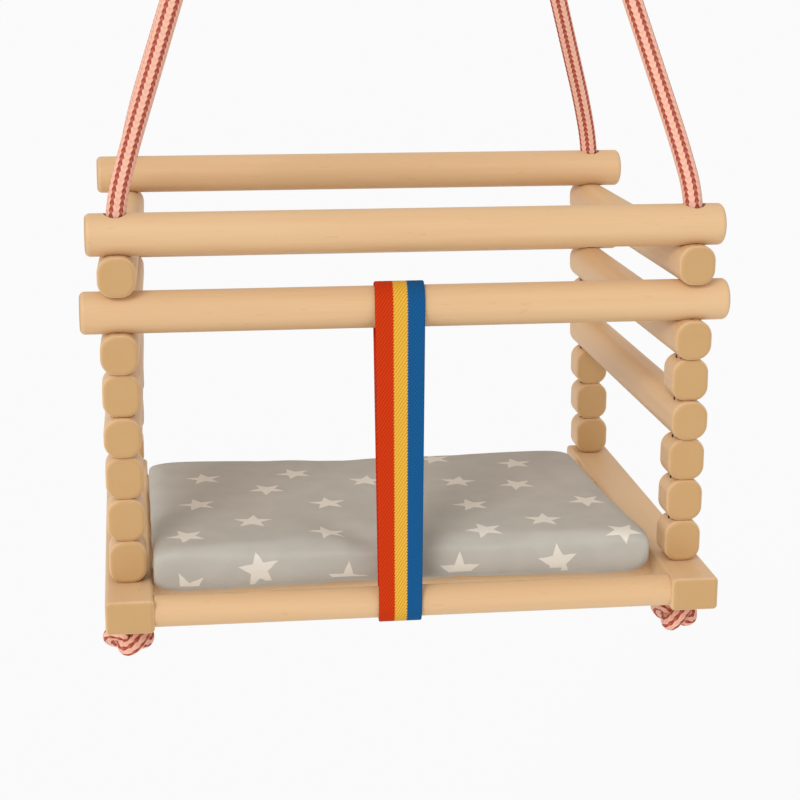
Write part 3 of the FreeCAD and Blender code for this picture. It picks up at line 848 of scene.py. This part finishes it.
def make_steel_material():
    """Zinc-plated steel with fine wear."""
    shade = Shade("plated_steel", roughness=0.32, specular=0.5)
    shade.bsdf.inputs["Metallic"].default_value = 1.0
    place = shade.coordinates()
    cloud = shade.noise(place, CLOUD_SCALE, detail=4.0)
    scratches = shade.noise(shade.mapped(place, SCRATCH_THIN), SCRATCH_SCALE, detail=2.0)
    color = shade.mix(shade.step(cloud, 0.3, 0.7), STEEL_LIGHT, STEEL_DARK)
    return shade.finish(color, [(scratches, 0.0001, 0.2)])


CLOTH_GREY, STAR_CREAM = (0.500, 0.474, 0.417), (0.77, 0.72, 0.63)
CLOTH_SHADE = tuple(0.94 * part for part in CLOTH_GREY)
SLUB_BROWN = (0.30, 0.26, 0.22)
STAR_POINTS = 5
STAR_REACH, STAR_WAIST = 0.0122, 0.0051  # radius of a star's tips and of its inner corners
STAR_SHARPNESS = 3500.0  # one over the width of its edge
STAR_WAVE_SCALE, STAR_WAVE = 260.0, 0.0009  # noise scale and size of the waves in its edge
WEAVE_FREQUENCY = 1750.0  # threads to a metre
MOTTLE_SCALE, SLUB_SCALE, SLUB_STRETCH = 60.0, 1500.0, (1, 0.15, 1)
# Stars of the print: place across, place along, and turn in degrees.
STARS = [
    (-0.114, 0.023, 8), (-0.056, 0.028, 20), (-0.012, 0.006, -10), (-0.076, -0.006, 30),
    (-0.120, -0.034, 14), (-0.041, -0.040, 5), (-0.089, -0.071, -6), (-0.046, -0.093, 18),
    (-0.129, -0.095, 25), (0.039, 0.053, 12), (0.090, 0.035, 4), (0.046, -0.003, -14),
    (0.082, -0.014, 22), (0.046, -0.054, 10), (0.118, -0.054, 28), (0.046, -0.103, 16),
    (0.084, -0.088, -8), (0.127, -0.114, 40), (-0.0885, -0.1330, 8), (-0.1295, -0.1445, 24),
    (-0.037, -0.1415, -4), (0.0285, -0.1385, 0), (0.087, -0.1355, 5),
]


def polar(nodes, point, turn):
    """Angle and radius of a point, turned about the middle."""
    parts = nodes.split(point)
    x, y = parts[0], parts[1]
    angle = nodes.math("ADD", nodes.math("ARCTAN2", x, y), turn)
    squares = nodes.math("ADD", nodes.math("MULTIPLY", x, x), nodes.math("MULTIPLY", y, y))
    return angle, nodes.math("SQRT", squares)


def inside_star(nodes, point, turn):
    """1 inside a five-pointed star and 0 outside it, with the star folded onto half a point."""
    angle, radius = polar(nodes, point, turn)
    sector = 2 * math.pi / STAR_POINTS
    within = nodes.math("MODULO", nodes.math("ADD", angle, 6 * sector), sector)
    folded = nodes.math("ABSOLUTE", nodes.math("SUBTRACT", within, sector / 2))
    from_tip = nodes.math("SUBTRACT", sector / 2, folded)
    px = nodes.math("MULTIPLY", radius, nodes.math("COSINE", from_tip))
    py = nodes.math("MULTIPLY", radius, nodes.math("SINE", from_tip))
    inner_x = STAR_WAIST * math.cos(sector / 2)
    inner_y = STAR_WAIST * math.sin(sector / 2)
    edge = math.hypot(STAR_REACH - inner_x, inner_y)
    slope_x, slope_y = inner_y / edge, (STAR_REACH - inner_x) / edge
    reach_y = nodes.math("MULTIPLY", py, slope_y)
    reach = nodes.math("ADD", nodes.math("MULTIPLY", px, slope_x), reach_y)
    inside = nodes.math("SUBTRACT", STAR_REACH * slope_x, reach)
    soft = nodes.math("ADD", nodes.math("MULTIPLY", inside, STAR_SHARPNESS), 0.5)
    return nodes.math("MINIMUM", nodes.math("MAXIMUM", soft, 0.0), 1.0)


def star_group():
    """Node group of one star, which all the stars of the print share."""
    group = bpy.data.node_groups.new("star", "ShaderNodeTree")
    group.interface.new_socket("Point", in_out="INPUT", socket_type="NodeSocketVector")
    group.interface.new_socket("Turn", in_out="INPUT", socket_type="NodeSocketFloat")
    group.interface.new_socket("Inside", in_out="OUTPUT", socket_type="NodeSocketFloat")
    source = group.nodes.new("NodeGroupInput").outputs
    inside = inside_star(Nodes(group), source["Point"], source["Turn"])
    group.links.new(inside, group.nodes.new("NodeGroupOutput").inputs["Inside"])
    return group


def star_print(shade, place):
    """1 on the printed stars and 0 between them, with slightly wavy edges."""
    uv = shade.node("ShaderNodeUVMap", uv_map="print").outputs[0]
    wavy = shade.vector_math("ADD", uv, shade.wobble(place, STAR_WAVE_SCALE, STAR_WAVE))
    group = star_group()
    stars = None
    for across, up, turn in STARS:
        moved = shade.vector_math("SUBTRACT", wavy, (across, up, 0))
        star = shade.node("ShaderNodeGroup", node_tree=group)
        shade.tree.links.new(moved, star.inputs["Point"])
        star.inputs["Turn"].default_value = math.radians(turn)
        inside = star.outputs[0]
        stars = inside if stars is None else shade.math("MAXIMUM", stars, inside)
    return stars


def make_cushion_material():
    """Warm grey woven cotton with a scattered print of cream stars."""
    shade = Shade("star_cotton", roughness=0.9, specular=0.15)
    place = shade.coordinates()
    stars = star_print(shade, place)
    threads = [shade.wave(place, axis, WEAVE_FREQUENCY) for axis in (0, 1)]
    weave = shade.math("MULTIPLY", *threads)
    mottle = shade.noise(place, MOTTLE_SCALE)
    cloth = shade.mix(shade.step(mottle, 0.3, 0.7), CLOTH_GREY, CLOTH_SHADE)
    color = shade.tint(cloth, stars, 0.92, STAR_CREAM)
    slubs = shade.noise(shade.mapped(place, SLUB_STRETCH), SLUB_SCALE, detail=2.0)
    color = shade.tint(color, slubs, 0.10, SLUB_BROWN)
    return shade.finish(color, [(weave, 0.00015, 0.25), (slubs, 0.0002, 0.3)])


WEBBING_RED, WEBBING_YELLOW = (0.590, 0.036, 0.002), (0.780, 0.425, 0.044)
WEBBING_BLUE = (0.005, 0.094, 0.262)
WEBBING_DARK, RIB_SHADOW = (0.30, 0.012, 0.014), (0.02, 0.01, 0.01)
YELLOW_FROM, YELLOW_TO = 0.365, 0.645  # the middle stripe, in widths of the strap
STRIPE_BLUR, STRIPE_RAGGED = 0.010, 0.010  # how blurred and how ragged its edges are
RIBS_ACROSS = 15.0  # dark lines of the twill from border to border
SELVAGE_FROM, SELVAGE_TO = 0.487, 0.497  # from the middle, where the dark left border fades in


def make_webbing_material():
    """Twill webbing in three lengthwise stripes, red, yellow and blue."""
    shade = Shade("striped_webbing", roughness=0.85, specular=0.1)
    uv = shade.node("ShaderNodeUVMap", uv_map="weave").outputs[0]
    parts = shade.split(uv)
    across, along = parts[0], parts[1]
    ragged = shade.math("MULTIPLY", shade.wave(uv, 1, 1 / STRAP_TWILL), STRIPE_RAGGED)
    edge = shade.math("ADD", across, ragged)
    yellow = shade.step(edge, YELLOW_FROM - STRIPE_BLUR, YELLOW_FROM + STRIPE_BLUR)
    blue = shade.step(edge, YELLOW_TO - STRIPE_BLUR, YELLOW_TO + STRIPE_BLUR)
    color = shade.mix(blue, shade.mix(yellow, WEBBING_RED, WEBBING_YELLOW), WEBBING_BLUE)
    rise = shade.math("DIVIDE", along, STRAP_TWILL * STRAP_RIB_RISE)
    twill = shade.math("ADD", shade.math("MULTIPLY", across, RIBS_ACROSS), rise)
    rib = shade.math("SINE", shade.math("MULTIPLY", twill, 2 * math.pi))
    color = shade.tint(color, shade.step(rib, 0.45, 1.0), 0.75, shade.mix(0.55, color, RIB_SHADOW))
    border = shade.math("ABSOLUTE", shade.math("SUBTRACT", across, 0.5))
    left = shade.math("MULTIPLY", shade.math("LESS_THAN", across, 0.5), 0.6)
    color = shade.tint(color, shade.step(border, SELVAGE_FROM, SELVAGE_TO), left, WEBBING_DARK)
    return shade.finish(color, [(rib, 0.0002, 0.5)])


def paint(obj, material):
    """Give a piece one material, in place of any it has."""
    obj.data.materials.clear()
    obj.data.materials.append(material)


def paint_wood():
    """Beech on the rails, dowels, boards and beads of the CAD model."""
    wood_x = make_wood("beech_grain_x", 0)
    wood_y = make_wood("beech_grain_y", 1)
    for name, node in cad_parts.items():
        if any(word in name for word in GRAIN_ALONG_X):
            paint(node, wood_x)
        elif any(word in name for word in GRAIN_ALONG_Y):
            paint(node, wood_y)


def paint_ropes(ropes, knots, eye):
    """The knitted rope's material on the ropes, their knots and the eye."""
    material = make_rope_material()
    for corner in CORNERS:
        for stretch, _ in ropes[corner]:
            paint(stretch, material)
        paint(knots[corner], material)
    for bight in eye:
        paint(bight, material)


# ---- floor and light ----

FLOOR_REACH, FLOOR_HEIGHT = 300.0, -2.5  # the swing hangs well above a white floor
FLOOR_WHITE = 0.98
SKY_STRENGTH, SKY_SEEN = 0.76, 0.96  # as a light, and as a backdrop as pale as the floor
KEY_STRENGTH, KEY_ANGLE = 1.35, 0.45  # the angle, in radians, makes its shadows soft
KEY_PLACE = (-0.9, -1.5, 1.05)  # the direction that the key light comes from


def make_floor():
    """A pale floor that reaches the horizon."""
    low, high = -FLOOR_REACH, FLOOR_REACH
    square = ((low, low), (high, low), (high, high), (low, high))
    floor = add_mesh("floor", [(x, y, FLOOR_HEIGHT) for x, y in square], [(0, 1, 2, 3)])
    shade = Shade("floor_white", roughness=0.9, specular=0.0)
    shade.bsdf.inputs["Base Color"].default_value = (FLOOR_WHITE, FLOOR_WHITE, FLOOR_WHITE, 1)
    paint(floor, shade.material)


def make_sky():
    """Soft white light from all sides, seen by the camera as a seamless pale backdrop."""
    world = bpy.data.worlds.new("studio")
    world.use_nodes = True
    background = world.node_tree.nodes["Background"]
    background.inputs["Color"].default_value = (1.0, 1.0, 1.0, 1)
    sky = Nodes(world.node_tree)
    seen = sky.node("ShaderNodeLightPath").outputs["Is Camera Ray"]
    inputs = {"Value": seen, "To Min": SKY_STRENGTH, "To Max": SKY_SEEN}
    strength = sky.node("ShaderNodeMapRange", inputs).outputs["Result"]
    world.node_tree.links.new(strength, background.inputs["Strength"])
    scene.world = world


def make_key_light():
    """A soft key light from the upper left."""
    data = bpy.data.lights.new("key_light", "SUN")
    data.energy = KEY_STRENGTH
    data.angle = KEY_ANGLE
    light = bpy.data.objects.new("key_light", data)
    light.rotation_euler = (-Vector(KEY_PLACE)).to_track_quat("-Z", "Y").to_euler()
    scene.collection.objects.link(light)


# ---- the swing ----

make_camera()
ropes = {corner: make_rope(corner) for corner in CORNERS}
knots = {corner: make_knot(corner) for corner in CORNERS}
eye = make_eye()
binding = make_binding()
cushion = make_cushion()
strap = make_strap()
paint_wood()
paint_ropes(ropes, knots, eye)
paint(binding, make_twine_material())
paint(cushion, make_cushion_material())
paint(strap, make_webbing_material())
paint(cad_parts["suspension_ring"], make_steel_material())
make_floor()
make_sky()
make_key_light()
scene.view_settings.view_transform = "Standard"
